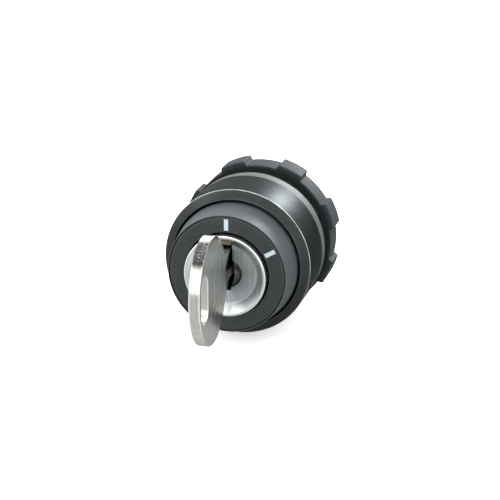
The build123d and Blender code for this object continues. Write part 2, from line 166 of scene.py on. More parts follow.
class Graph:
    """Short way to add and link nodes in one shader tree."""

    def __init__(self, tree: bpy.types.NodeTree) -> None:
        """Keeps the tree and empties it."""
        self.tree = tree
        tree.nodes.clear()

    def add(self, kind: str, **settings: object) -> bpy.types.Node:
        """Adds a node.

        Args:
            kind: the node's type name without its ShaderNode prefix, or a full type name.
            settings: properties set on the node.

        Returns:
            The new node.
        """
        full = kind if kind.startswith("Node") else f"ShaderNode{kind}"
        node = self.tree.nodes.new(full)
        for key, value in settings.items():
            setattr(node, key, value)
        return node

    def feed(self, target: bpy.types.NodeSocket, source: object) -> None:
        """Links a socket to the target, or sets the target's own value."""
        if isinstance(source, bpy.types.NodeSocket):
            self.tree.links.new(source, target)
        else:
            target.default_value = source

    def math(self, operation: str, *inputs: object, clamp: bool = False) -> bpy.types.NodeSocket:
        """A Math node of that operation; returns its result."""
        node = self.add("Math", operation=operation, use_clamp=clamp)
        for socket, value in zip(node.inputs, inputs):
            self.feed(socket, value)
        return node.outputs[0]

    def vector(self, x: object, y: object, z: object) -> bpy.types.NodeSocket:
        """Three values joined into a vector."""
        node = self.add("CombineXYZ")
        for socket, value in zip(node.inputs, (x, y, z)):
            self.feed(socket, value)
        return node.outputs[0]

    def split(self, vector: object) -> Sequence[bpy.types.NodeSocket]:
        """A vector's three values."""
        node = self.add("SeparateXYZ")
        self.feed(node.inputs[0], vector)
        return node.outputs

    def noise(self, vector: object, scale: object, detail: float,
              rough: float = 0.5) -> bpy.types.NodeSocket:
        """Smooth noise at a scale; returns its value."""
        node = self.add("TexNoise")
        settings = {"Vector": vector, "Scale": scale, "Detail": detail, "Roughness": rough}
        for name, value in settings.items():
            self.feed(node.inputs[name], value)
        return node.outputs["Fac"]

    def spread(self, value: object, low: float, high: float, to_low: object = 0.0,
               to_high: object = 1.0) -> bpy.types.NodeSocket:
        """Maps low..high to to_low..to_high, and clamps."""
        node = self.add("MapRange", clamp=True)
        for name, v in (("Value", value), ("From Min", low), ("From Max", high), ("To Min", to_low),
                        ("To Max", to_high)):
            self.feed(node.inputs[name], v)
        return node.outputs["Result"]

    def blend(self, factor: object, a: object, b: object, mode: str = "MIX") -> bpy.types.NodeSocket:
        """Mixes two colours by a factor; returns the colour."""
        node = self.add("Mix", data_type="RGBA", blend_type=mode)
        self.feed(node.inputs[0], factor)
        self.feed(node.inputs[6], a)
        self.feed(node.inputs[7], b)
        return node.outputs[2]


class SharedEffects:
    """Shader groups that several finishes use, each built once."""

    def __init__(self) -> None:
        """Starts with no group built."""
        self.groups: dict[str, bpy.types.NodeTree] = {}

    def _start(self, name: str, inputs: Sequence[tuple[str, str]], outputs: Sequence[str]) -> Graph:
        """Makes an empty group with those sockets.

        Args:
            name: the group's name.
            inputs: (socket name, "Vector" or "Float") pairs.
            outputs: names of float outputs.

        Returns:
            The group's graph, with its input and output nodes.
        """
        tree = bpy.data.node_groups.new(name, "ShaderNodeTree")
        for socket, kind in inputs:
            tree.interface.new_socket(socket, in_out="INPUT", socket_type=f"NodeSocket{kind}")
        for socket in outputs:
            tree.interface.new_socket(socket, in_out="OUTPUT", socket_type="NodeSocketFloat")
        graph = Graph(tree)
        graph.source = graph.add("NodeGroupInput").outputs
        graph.result = graph.add("NodeGroupOutput").inputs
        self.groups[name] = tree
        return graph

    def _start_marks(self, name: str, slowness: float) -> Graph:
        """Makes a group for fine marks, with a slow mottle already fed.

        Args:
            name: the group's name.
            slowness: the mottle's scale as a share of the fineness.

        Returns:
            The group's graph, whose Marks output is still free.
        """
        g = self._start(name, [("Place", "Vector"), ("Fineness", "Float")], ["Marks", "Mottle"])
        slow = g.math("MULTIPLY", g.source["Fineness"], slowness)
        g.feed(g.result["Mottle"], g.spread(g.noise(g.source["Place"], slow, 2.0), 0.3, 0.7))
        return g

    def grain(self) -> bpy.types.NodeTree:
        """Even fine grain: three octaves of noise."""
        if "even_grain" not in self.groups:
            g = self._start_marks("even_grain", 0.12)
            g.feed(g.result["Marks"], g.noise(g.source["Place"], g.source["Fineness"], 3.0, 0.6))
        return self.groups["even_grain"]

    def turned(self) -> bpy.types.NodeTree:
        """Concentric tool marks: noise that varies fast with radius and axial place, slowly round Y."""
        if "turned_marks" not in self.groups:
            g = self._start_marks("turned_marks", 0.07)
            x, y, z = g.split(g.source["Place"])
            radius = g.math("SQRT", g.math("ADD", g.math("MULTIPLY", x, x), g.math("MULTIPLY", z, z)))
            slanted = g.math("ADD", radius, g.math("MULTIPLY", y, 1.31))
            across = g.math("MULTIPLY", slanted, g.source["Fineness"])
            clear_of_axis = g.math("ADD", radius, 1e-5)
            round_x = g.math("MULTIPLY", g.math("DIVIDE", x, clear_of_axis), 1.6)
            round_z = g.math("MULTIPLY", g.math("DIVIDE", z, clear_of_axis), 1.6)
            lines = g.noise(g.vector(across, round_x, round_z), 1.0, 2.0, 0.7)
            speckle = g.noise(g.source["Place"], g.math("MULTIPLY", g.source["Fineness"], 0.9), 2.0)
            both = g.math("ADD", g.math("MULTIPLY", lines, 0.65), g.math("MULTIPLY", speckle, 0.35))
            g.feed(g.result["Marks"], both)
        return self.groups["turned_marks"]

    def drawn(self, name: str, depth_share: float) -> bpy.types.NodeTree:
        """Straight brush marks along Z: noise stretched forty times along Z.

        Args:
            name: the group's name.
            depth_share: how much the marks vary with Y, from 0 to 1.

        Returns:
            The group.
        """
        if name not in self.groups:
            g = self._start_marks(name, 0.08)
            x, y, z = g.split(g.source["Place"])
            stretched = g.vector(x, g.math("MULTIPLY", y, depth_share), g.math("MULTIPLY", z, 0.025))
            g.feed(g.result["Marks"], g.noise(stretched, g.source["Fineness"], 3.0, 0.65))
        return self.groups[name]

    def wear(self) -> bpy.types.NodeTree:
        """Rubbed edges: the piece's edge attribute, broken up by noise."""
        if "rubbed_edges" not in self.groups:
            g = self._start("rubbed_edges", [("Place", "Vector"), ("Edge", "Float")], ["Mask"])
            broken = g.spread(g.noise(g.source["Place"], 420.0, 3.0, 0.6), 0.25, 0.6, 0.45, 1.0)
            g.feed(g.result["Mask"], g.math("MULTIPLY", g.source["Edge"], broken, clamp=True))
        return self.groups["rubbed_edges"]


def dimmed(colour: Colour, share: float = 1.0) -> tuple[float, float, float, float]:
    """A colour times a share, with full alpha."""
    return (*[share * c for c in colour], 1.0)


class Paintbox:
    """Makes each finish's material once."""

    def __init__(self) -> None:
        """Starts with no material made."""
        self.effects = SharedEffects()
        self.made: dict[str, bpy.types.Material] = {}

    def _marks(self, texture: Texture) -> bpy.types.NodeTree:
        """The shader group for a texture."""
        if texture is Texture.TURNED:
            return self.effects.turned()
        if texture is Texture.DRAWN:
            return self.effects.drawn("drawn_marks", 1.0)
        if texture is Texture.BRUSHED:
            return self.effects.drawn("brushed_marks", 0.06)
        return self.effects.grain()

    def material(self, finish: Finish) -> bpy.types.Material:
        """The material of a finish.

        Args:
            finish: colours, gloss and marks.

        Returns:
            A node material whose colour, roughness and relief vary over the surface.
        """
        if finish.name in self.made:
            return self.made[finish.name]
        material = bpy.data.materials.new(finish.name)
        material.use_nodes = True
        g = Graph(material.node_tree)
        place = g.add("TexCoord").outputs["Object"]
        marks = g.add("Group", node_tree=self._marks(finish.texture))
        g.feed(marks.inputs["Place"], place)
        g.feed(marks.inputs["Fineness"], finish.fineness)
        shader = g.add("BsdfPrincipled")
        colour = g.blend(marks.outputs["Mottle"], dimmed(finish.shade), dimmed(finish.colour))
        darker = g.spread(marks.outputs["Marks"], 0.3, 0.7, *finish.contrast)
        colour = g.blend(1.0, colour, g.vector(darker, darker, darker), "MULTIPLY")
        if finish.wear > 0:
            wear = g.add("Group", node_tree=self.effects.wear())
            g.feed(wear.inputs["Place"], place)
            g.feed(wear.inputs["Edge"], g.add("Attribute", attribute_name="edge").outputs["Fac"])
            mask = g.math("MULTIPLY", wear.outputs["Mask"], finish.wear)
            colour = g.blend(mask, colour, dimmed(finish.wear_colour))
        low, high = finish.roughness
        rough = g.spread(marks.outputs["Marks"], 0.3, 0.7, low, high)
        # painted shade: where the attribute marks it, the colour turns to a darker, streaked colour and the
        # surface gets rougher
        if finish.rough_painted_shade is not None:
            shade_share = g.add("Attribute", attribute_name="rough_painted_shade").outputs["Fac"]
            streaks = g.spread(marks.outputs["Marks"], 0.35, 0.65)
            shade_colour = g.blend(streaks, dimmed(finish.rough_painted_shade, PAINTED_SHADE_STREAK), dimmed(finish.rough_painted_shade))
            colour = g.blend(shade_share, colour, shade_colour)
            rough = g.math("ADD", rough, g.math("MULTIPLY", shade_share, PAINTED_SHADE_ROUGHER))
        # painted shade and painted dark reflection: speckled, nearly black colour where the attribute marks
        # it
        if finish.painted_dark > 0:
            where = g.add("Attribute", attribute_name="painted_dark").outputs["Fac"]
            spots = g.spread(g.noise(place, 2400.0, 3.0, 0.7), 0.33, 0.48, 0.72, 1.0)
            dark = g.math("MULTIPLY", g.math("MULTIPLY", where, spots), finish.painted_dark)
            colour = g.blend(dark, colour, dimmed(finish.shade, PAINTED_DARK_TONE))
        g.feed(shader.inputs["Base Color"], colour)
        g.feed(shader.inputs["Roughness"], rough)
        shader.inputs["Metallic"].default_value = finish.metallic
        shader.inputs["Specular IOR Level"].default_value = finish.specular
        shader.inputs["Specular Tint"].default_value = (finish.tint, finish.tint, finish.tint, 1.0)
        bump = g.add("Bump")
        bump.inputs["Strength"].default_value = 0.5
        bump.inputs["Distance"].default_value = finish.relief * MM
        g.feed(bump.inputs["Height"], marks.outputs["Marks"])
        g.feed(shader.inputs["Normal"], bump.outputs["Normal"])
        g.feed(g.add("OutputMaterial").inputs["Surface"], shader.outputs["BSDF"])
        self.made[finish.name] = material
        return material


# ---- surfaces --------------------------------------------------------------------------------------
@dataclass(frozen=True)
class Corner:
    """A corner of an outline: its place and rounding radius, in mm, and how rubbed it is."""

    a: float
    b: float
    rounding: float = 0.08
    rub: float = 1.0


def rounded_outline(corners: Sequence[Corner], steps: int = 6) -> np.ndarray:
    """Closed outline with every corner replaced by a circular arc.

    The arc touches both neighbouring sides at distance t = R tan(turn / 2) from the corner, where turn is
    the angle that the outline turns by. Its points are the corner plus the two tangent vectors weighted so
    that they lie on the circle.

    Args:
        corners: the sharp corners in order.
        steps: sides of each arc.

    Returns:
        Rows of (a, b, edge), where edge is the corner's rub inside an arc at an outward corner, else 0.
    """
    places = np.array([(c.a, c.b) for c in corners])
    before, after = np.roll(places, 1, 0) - places, np.roll(places, -1, 0) - places
    area = np.sum(places[:, 0] * np.roll(places[:, 1], -1) - np.roll(places[:, 0], -1) * places[:, 1])
    rows = []
    for corner, here, back, ahead in zip(corners, places, before, after):
        length = min(np.linalg.norm(back), np.linalg.norm(ahead))
        u, v = back / np.linalg.norm(back), ahead / np.linalg.norm(ahead)
        turn = math.pi - math.acos(float(np.clip(u @ v, -1, 1)))
        outward = (-u[0] * v[1] + u[1] * v[0]) * area > 0
        if turn < 0.02 or corner.rounding <= 0:
            rows.append([[*here, 0.0]])
            continue
        t = min(corner.rounding * math.tan(turn / 2), 0.45 * length)
        radius = t / math.tan(turn / 2)
        bisector = (u + v) / np.linalg.norm(u + v)
        centre = here + bisector * math.hypot(t, radius)
        start = here + u * t - centre
        swing = np.linspace(0, turn, steps + 1) * np.sign(u[0] * v[1] - u[1] * v[0]) * -1
        cos, sin = np.cos(swing), np.sin(swing)
        arc = centre + np.stack([cos * start[0] - sin * start[1], sin * start[0] + cos * start[1]], 1)
        edge = np.full(len(arc), corner.rub * float(outward))
        edge[[0, -1]] = 0.0
        rows.append(np.column_stack([arc, edge]))
    return np.vstack(rows)


def densify(outline: np.ndarray, spacing: float, low: float, high: float) -> np.ndarray:
    """Adds evenly spaced points to the outline's long sides that lie between two axial places.

    Args:
        outline: rows of (radius, axial, edge), closed.
        spacing: the longest side allowed there, in mm.
        low: the first axial place.
        high: the last axial place.

    Returns:
        The outline with the added rows.
    """
    rows = []
    for here, ahead in zip(outline, np.roll(outline, -1, 0)):
        middle = (here[1] + ahead[1]) / 2
        length = np.linalg.norm(ahead[:2] - here[:2])
        count = int(np.ceil(length / spacing)) if low <= middle <= high else 1
        share = np.arange(count)[:, None] / count
        rows.append(here + (ahead - here) * share)
    return np.vstack(rows)


def grid_faces(rows: int, columns: int, closed_rows: bool) -> np.ndarray:
    """Quads of a grid whose columns always close; its rows close if asked.

    Corner (i, j) of the grid is vertex i * columns + j.
    """
    i = np.arange(rows if closed_rows else rows - 1)[:, None]
    j = np.arange(columns)[None, :]
    nxt_i, nxt_j = (i + 1) % rows, (j + 1) % columns
    quads = [i * columns + j, i * columns + nxt_j, nxt_i * columns + nxt_j, nxt_i * columns + j]
    return np.stack([np.broadcast_to(q, (len(i), columns)) for q in quads], -1).reshape(-1, 4)


def capped_tube_faces(rows: int, columns: int) -> list[list[int]]:
    """Quads of a tube of closed rows, and one face across each end."""
    faces = grid_faces(rows, columns, False).tolist()
    faces += [list(range(columns))[::-1], list(range((rows - 1) * columns, rows * columns))]
    return faces


def mesh_piece(name: str, places: np.ndarray, faces: Sequence, edge: np.ndarray | None = None,
               sharp_above: float = SHARP_ANGLE) -> bpy.types.Object:
    """Makes a closed, smooth-shaded piece from places in mm.

    Args:
        name: the piece's name.
        places: (n, 3) array in mm.
        faces: rows of vertex numbers.
        edge: how much each vertex belongs to a rubbed edge, 0 to 1.
        sharp_above: angle between faces, in degrees, above which an edge is drawn sharp.

    Returns:
        The object, at the origin.
    """
    mesh = bpy.data.meshes.new(name)
    mesh.from_pydata((places * MM).tolist(), [], [list(f) for f in faces])
    layer = mesh.attributes.new("edge", "FLOAT", "POINT")
    layer.data.foreach_set("value", np.zeros(len(places)) if edge is None else edge.ravel())
    work = bmesh.new()
    work.from_mesh(mesh)
    bmesh.ops.remove_doubles(work, verts=work.verts, dist=MERGE_DISTANCE)
    bmesh.ops.dissolve_degenerate(work, edges=work.edges, dist=MERGE_DISTANCE / 10)
    bmesh.ops.recalc_face_normals(work, faces=work.faces)
    work.to_mesh(mesh)
    work.free()
    mesh.polygons.foreach_set("use_smooth", np.ones(len(mesh.polygons), bool))
    mesh.set_sharp_from_angle(angle=math.radians(sharp_above))
    piece = bpy.data.objects.new(name, mesh)
    bpy.context.scene.collection.objects.link(piece)
    return piece


Swell = Callable[[np.ndarray, np.ndarray], np.ndarray]


def turned_piece(name: str, outline: np.ndarray, angles: np.ndarray | int = 320,
                 swell: Swell | None = None) -> bpy.types.Object:
    """A surface of revolution about Y.

    Each outline point at radius r and axial place y becomes the circle (r sin angle, y, r cos angle). A
    swell adds to r as a function of the angle and the outline point.

    Args:
        name: the piece's name.
        outline: closed rows of (radius, axial, edge), in mm.
        angles: the angles in radians, or how many even ones.
        swell: function of the angles (1, m) and the outline (n, 1, 3) that gives the radius added, in mm.

    Returns:
        The piece.
    """
    turn = np.linspace(0, 2 * np.pi, angles, endpoint=False) if isinstance(angles, int) else angles
    r = np.broadcast_to(outline[:, :1], (len(outline), len(turn))).copy()
    if swell is not None:
        r += swell(turn[None, :], outline[:, None, :])
    y = np.broadcast_to(outline[:, 1:2], r.shape)
    places = np.stack([r * np.sin(turn), y, r * np.cos(turn)], -1).reshape(-1, 3)
    edge = np.broadcast_to(outline[:, 2:3], r.shape)
    return mesh_piece(name, places, grid_faces(len(outline), len(turn), True), edge)


def block_piece(name: str, low: Sequence[float], high: Sequence[float], rounding: float,
                steps: int = 4) -> bpy.types.Object:
    """A block with rounded edges.

    Its cross-section across Y is a rounded rectangle. The section is carried along Y, and near each end it
    shrinks by R (1 - cos q) while it moves on by R sin q, which rounds the end's edges.

    Args:
        name: the piece's name.
        low: lowest corner, in mm.
        high: highest corner, in mm.
        rounding: radius R of the edges, in mm.
        steps: sides of each quarter arc.

    Returns:
        The piece.
    """
    low, high = np.array(low, float), np.array(high, float)
    middle, half = (low + high) / 2, (high - low) / 2
    signs = ((1, 1), (-1, 1), (-1, -1), (1, -1))
    quarter = np.linspace(0, np.pi / 2, steps + 1)
    spin = np.concatenate([quarter + k * np.pi / 2 for k in range(4)])
    corner = np.repeat(np.array(signs, float), steps + 1, 0)
    bend = np.linspace(0, np.pi / 2, steps + 1)
    inset = np.concatenate([rounding * (1 - np.sin(bend)), rounding * (1 - np.sin(bend[::-1]))])
    ends = rounding * (1 - np.cos(bend))
    along = np.concatenate([ends - half[1], half[1] - ends[::-1]])
    radius = np.maximum(rounding - inset, 0)[:, None]
    x = corner[:, 0] * (half[0] - rounding) + np.cos(spin) * radius
    z = corner[:, 1] * (half[2] - rounding) + np.sin(spin) * radius
    y = np.broadcast_to(along[:, None], x.shape)
    places = np.stack([x, y, z], -1).reshape(-1, 3) + middle
    edge = np.broadcast_to(((inset > 0) & (inset < rounding))[:, None], x.shape).astype(float)
    return mesh_piece(name, places, capped_tube_faces(*x.shape), edge)


def mark(piece: bpy.types.Object, name: str,
         share: Callable[[np.ndarray, np.ndarray, np.ndarray], np.ndarray]) -> None:
    """Writes an attribute that a finish reads, as a function of each vertex's place in mm.

    Args:
        piece: the piece.
        name: the attribute's name.
        share: function of x, y and z that gives 0 to 1.
    """
    mesh = piece.data
    places = np.empty(3 * len(mesh.vertices))
    mesh.vertices.foreach_get("co", places)
    x, y, z = places.reshape(-1, 3).T / MM
    layer = mesh.attributes.new(name, "FLOAT", "POINT")
    layer.data.foreach_set("value", share(x, y, z).astype(float))


def prism_piece(name: str, outline: np.ndarray, span: tuple[float, float], axis: int) -> bpy.types.Object:
    """A straight prism: a closed outline in the plane across an axis, carried along that axis.

    Args:
        name: the piece's name.
        outline: (n, 2) corners, in mm, in the order of the other two axes.
        span: where the prism starts and ends along its axis, in mm.
        axis: 0 for X, 1 for Y.

    Returns:
        The piece.
    """
    ends = [np.insert(outline, axis, place, axis=1) for place in span]
    return mesh_piece(name, np.vstack(ends), capped_tube_faces(2, len(outline)))


def cut(piece: bpy.types.Object, *cutters: bpy.types.Object) -> None:
    """Takes the cutters' volume out of a piece and removes the cutters."""
    for cutter in cutters:
        modifier = piece.modifiers.new("cut", "BOOLEAN")
        modifier.operation = "DIFFERENCE"
        modifier.solver = "EXACT"
        modifier.object = cutter
    bpy.context.view_layer.update()
    solved = bpy.data.meshes.new_from_object(piece.evaluated_get(bpy.context.evaluated_depsgraph_get()))
    piece.modifiers.clear()
    piece.data = solved
    solved.set_sharp_from_angle(angle=math.radians(SHARP_ANGLE))
    for cutter in cutters:
        bpy.data.objects.remove(cutter)


@dataclass(frozen=True)
class Extent:
    """Where a CAD node lies along and around the axis, in mm."""

    front: float
    rear: float
    radius: float

    @classmethod
    def of(cls, node: str) -> "Extent":
        """The extent of that node."""
        low, high = (np.array(corner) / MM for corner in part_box(node))
        return cls(float(low[1]), float(high[1]), float(max(high[0], high[2], -low[0], -low[2])))


def place_piece(piece: bpy.types.Object, finish: Finish, paints: Paintbox, node: str,
                body: str) -> None:
    """Gives a piece its finish, slot, CAD node and body, and reports it."""
    piece.data.materials.clear()
    piece.data.materials.append(paints.material(finish))
    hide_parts(node)
    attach(piece, body)
    LOG.info("%s: %d faces, rides on %s", piece.name, len(piece.data.polygons), body)


# ---- sub-assemblies -----------------------------------------------------------------------------------
@dataclass
class Bezel:
    """The fixed front: shroud, collar and index ring."""

    paints: Paintbox
    body: str = "body"
    cone_corners: tuple[tuple[float, float], ...] = ((15.1, -13.5), (14.6, -13.82), (13.62, -14.40))
    lip_radii: tuple[float, float] = (13.22, 13.45)
    lip_foot: float = -14.1
    step: float = -13.1
    shroud_bore: float = 12.9
    boss_bore: float = 13.85
    collar_tip: float = 12.05
    collar_bore: float = 8.95
    collar_flank_end: float = -15.0
    collar_flank_radius: float = 12.75
    collar_flange: float = -12.3
    collar_seat: tuple[float, float] = (10.3, -16.5)
    seal_groove: tuple[float, float, float] = (9.6, -17.2, -18.6)
    ring_depth: float = 1.0
    ring_seat_radius: float = 11.85
    ring_radius: float = 11.7
    ring_bore: float = 8.65
    segments: int = 360

    def shroud(self) -> None:
        """The round outer shroud: conical front, raised lip and a thin rolled front edge."""
        at = Extent.of("bezel_shroud")
        edge, shoulder, foot = self.cone_corners
        outline = rounded_outline([
            Corner(at.radius, at.rear, 0.05, 0.3),
            Corner(*edge, 0.22),
            Corner(*shoulder, 0.25, 0.3),
            Corner(*foot, 0.2, 0.0),
            Corner(self.lip_radii[1], at.front, 0.08, 0.15),
            Corner(self.lip_radii[0], at.front, 0.08, 0.1),
            Corner(self.shroud_bore, self.lip_foot, 0.1, 0.0),
            Corner(self.shroud_bore, self.step, 0.1),
            Corner(self.boss_bore, self.step, 0.1),
            Corner(self.boss_bore, at.rear, 0.05),
        ])
        piece = turned_piece("shroud_shell", outline, self.segments)
        place_piece(piece, Finishes.BEZEL, self.paints, "bezel_shroud", self.body)

    def collar(self) -> None:
        """The tapered collar with its ring seat, seal groove and rear flange."""
        at = Extent.of("front_collar")
        seat_radius, seat_end = self.collar_seat
        groove_radius, groove_rear, groove_front = self.seal_groove
        outline = rounded_outline([
            Corner(self.collar_tip, at.front, 0.14),
            Corner(self.collar_flank_radius, self.collar_flank_end, 0.6),
            Corner(self.collar_flank_radius, self.collar_flange, 0.1),
            Corner(at.radius, self.collar_flange, 0.1),
            Corner(at.radius, at.rear, 0.1),
            Corner(seat_radius, at.rear, 0.1),
            Corner(seat_radius, seat_end, 0.05),
            Corner(self.collar_bore, seat_end, 0.05),
            Corner(self.collar_bore, groove_rear, 0.05),
            Corner(groove_radius, groove_rear, 0.05),
            Corner(groove_radius, groove_front, 0.05),
            Corner(self.collar_bore, groove_front, 0.05),
            Corner(self.collar_bore, at.front + self.ring_depth, 0.05),
            Corner(self.ring_seat_radius, at.front + self.ring_depth, 0.05),
            Corner(self.ring_seat_radius, at.front, 0.05),
        ])
        piece = turned_piece("collar_body", outline, self.segments)
        place_piece(piece, Finishes.COLLAR, self.paints, "front_collar", self.body)

    def index_ring(self) -> None:
        """The dark ring that carries the marks."""
        at = Extent.of("index_ring")
        outline = rounded_outline([
            Corner(self.ring_bore, at.front, 0.1),
            Corner(self.ring_radius, at.front, 0.3),
            Corner(self.ring_radius, at.rear, 0.05),
            Corner(self.ring_bore, at.rear, 0.05),
        ])
        piece = turned_piece("index_plate", outline, self.segments)
        place_piece(piece, Finishes.INDEX, self.paints, "index_ring", self.body)

    def build(self) -> None:
        """Builds every piece of the fixed front."""
        self.shroud()
        self.collar()
        self.index_ring()


@dataclass
class LockFace:
    """The turning front of the lock: dished cap and pointer."""

    paints: Paintbox
    body: str = "plug"
    floor: float = -20.3
    floor_radius: float = 6.0
    dimple_radius: float = 2.95
    dimple_depth: float = 1.3
    back: float = -18.7
    skirt_bore: float = 7.02
    slot_corners: tuple[tuple[float, float], ...] = (
        (-1.1, -3.5), (0.72, -3.5), (1.15, -1.0), (1.15, 1.0), (1.0, 6.0), (-1.1, 6.0))
    pocket_half: float = 0.95
    pocket_floor: float = -19.8
    pocket_heights: tuple[float, float] = (6.2, 7.55)
    # painted shade in the centre depression: dark spots beside the slot as x, z, spread and strength, and a
    # dark band on its rim
    shade_spots: tuple[tuple[float, float, float, float], ...] = ((1.7, 0.9, 0.75, 1.0), (-1.9, 0.4, 0.6, 0.7))
    rim_shade: tuple[float, float] = (2.75, 0.22)

    def cap(self) -> None:
        """The dished cap. The centre depression is a circular arc of radius (r r + d d) / 2 d."""
        at = Extent.of("face_cap")
        arc_radius = (self.dimple_radius**2 + self.dimple_depth**2) / (2 * self.dimple_depth)
        r = np.linspace(self.dimple_radius, 0, 14)
        sag = np.sqrt(arc_radius**2 - r**2) - (arc_radius - self.dimple_depth)
        dimple = np.column_stack([r, self.floor + sag, np.zeros_like(r)])
        front = rounded_outline([
            Corner(at.radius, at.rear, 0.05),
            Corner(at.radius, at.front, 0.34),
            Corner(at.radius - 0.5, at.front, 0.2),
            Corner(self.floor_radius + 0.1, self.floor - 0.05, 0.45),
            Corner(self.dimple_radius, self.floor, 0.0),
            Corner(self.dimple_radius, self.back, 0.0),
            Corner(self.skirt_bore, self.back, 0.1),
            Corner(self.skirt_bore, at.rear, 0.05),
        ], steps=10)
        # the straight step to the back is swapped for the arc down to the axis and the flat back
        row = int(np.flatnonzero((front[:, 0] == self.dimple_radius) & (front[:, 1] == self.floor))[0])
        outline = np.vstack([front[:row], dimple, [[0.0, self.back, 0.0]], front[row + 2:]])
        piece = turned_piece("lock_dish", outline, 320)
        slot = prism_piece("slot_cutter", np.array(self.slot_corners), (at.front - 2, self.back + 2), 1)
        low, high = self.pocket_heights
        pocket = block_piece("pocket_cutter", (-self.pocket_half, at.front - 2, low),
                             (self.pocket_half, self.pocket_floor, high), 0.1)
        cut(piece, slot, pocket)
        # the dish's floor and dimple are rougher than its wall, and painted darker: a painted shade of
        # their darker reflection
        mark(piece, "rough_painted_shade", self.floor_shade)
        # painted shade in the centre depression, beside the slot and on the lower right of its rim
        mark(piece, "painted_dark", self.dimple_shade)
        place_piece(piece, Finishes.CHROME, self.paints, "face_cap", self.body)

    def floor_shade(self, x: np.ndarray, y: np.ndarray, z: np.ndarray) -> np.ndarray:
        """1 on the front of the dish's floor, fading to 0 over 0.3 mm of radius at the foot of the wall."""
        return np.clip((self.floor_radius + 0.35 - np.hypot(x, z)) / 0.3, 0, 1) * (y < self.back - 0.1)

    def dimple_shade(self, x: np.ndarray, y: np.ndarray, z: np.ndarray) -> np.ndarray:
        """Painted shade in the centre depression: dark spots beside the slot, and the lower right of its
        rim.

        A spot is its strength times exp(-d d / s), where d is the distance from its middle and s its
        spread. The rim's shade is a bell curve of the radius, and it grows with x - z.
        """
        spot_shade = sum(strength * np.exp(-((x - cx) ** 2 + (z - cz) ** 2) / spread)
                   for cx, cz, spread, strength in self.shade_spots)
        radius, width = self.rim_shade
        rim = np.exp(-(((np.hypot(x, z) - radius) / width) ** 2)) * np.clip((x - z - 1.0) / 1.6, 0, 1)
        return np.clip(spot_shade + rim, 0, 1) * (y < self.back - 0.1)

    def pointer(self) -> None:
        """The brass insert above the keyway."""
        low, high = (np.array(c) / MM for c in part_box("slot_pointer"))
        piece = block_piece("pointer_insert", low, high, 0.15)
        place_piece(piece, Finishes.AGED, self.paints, "slot_pointer", self.body)

    def build(self) -> None:
        """Builds the turning front."""
        self.cap()
        self.pointer()


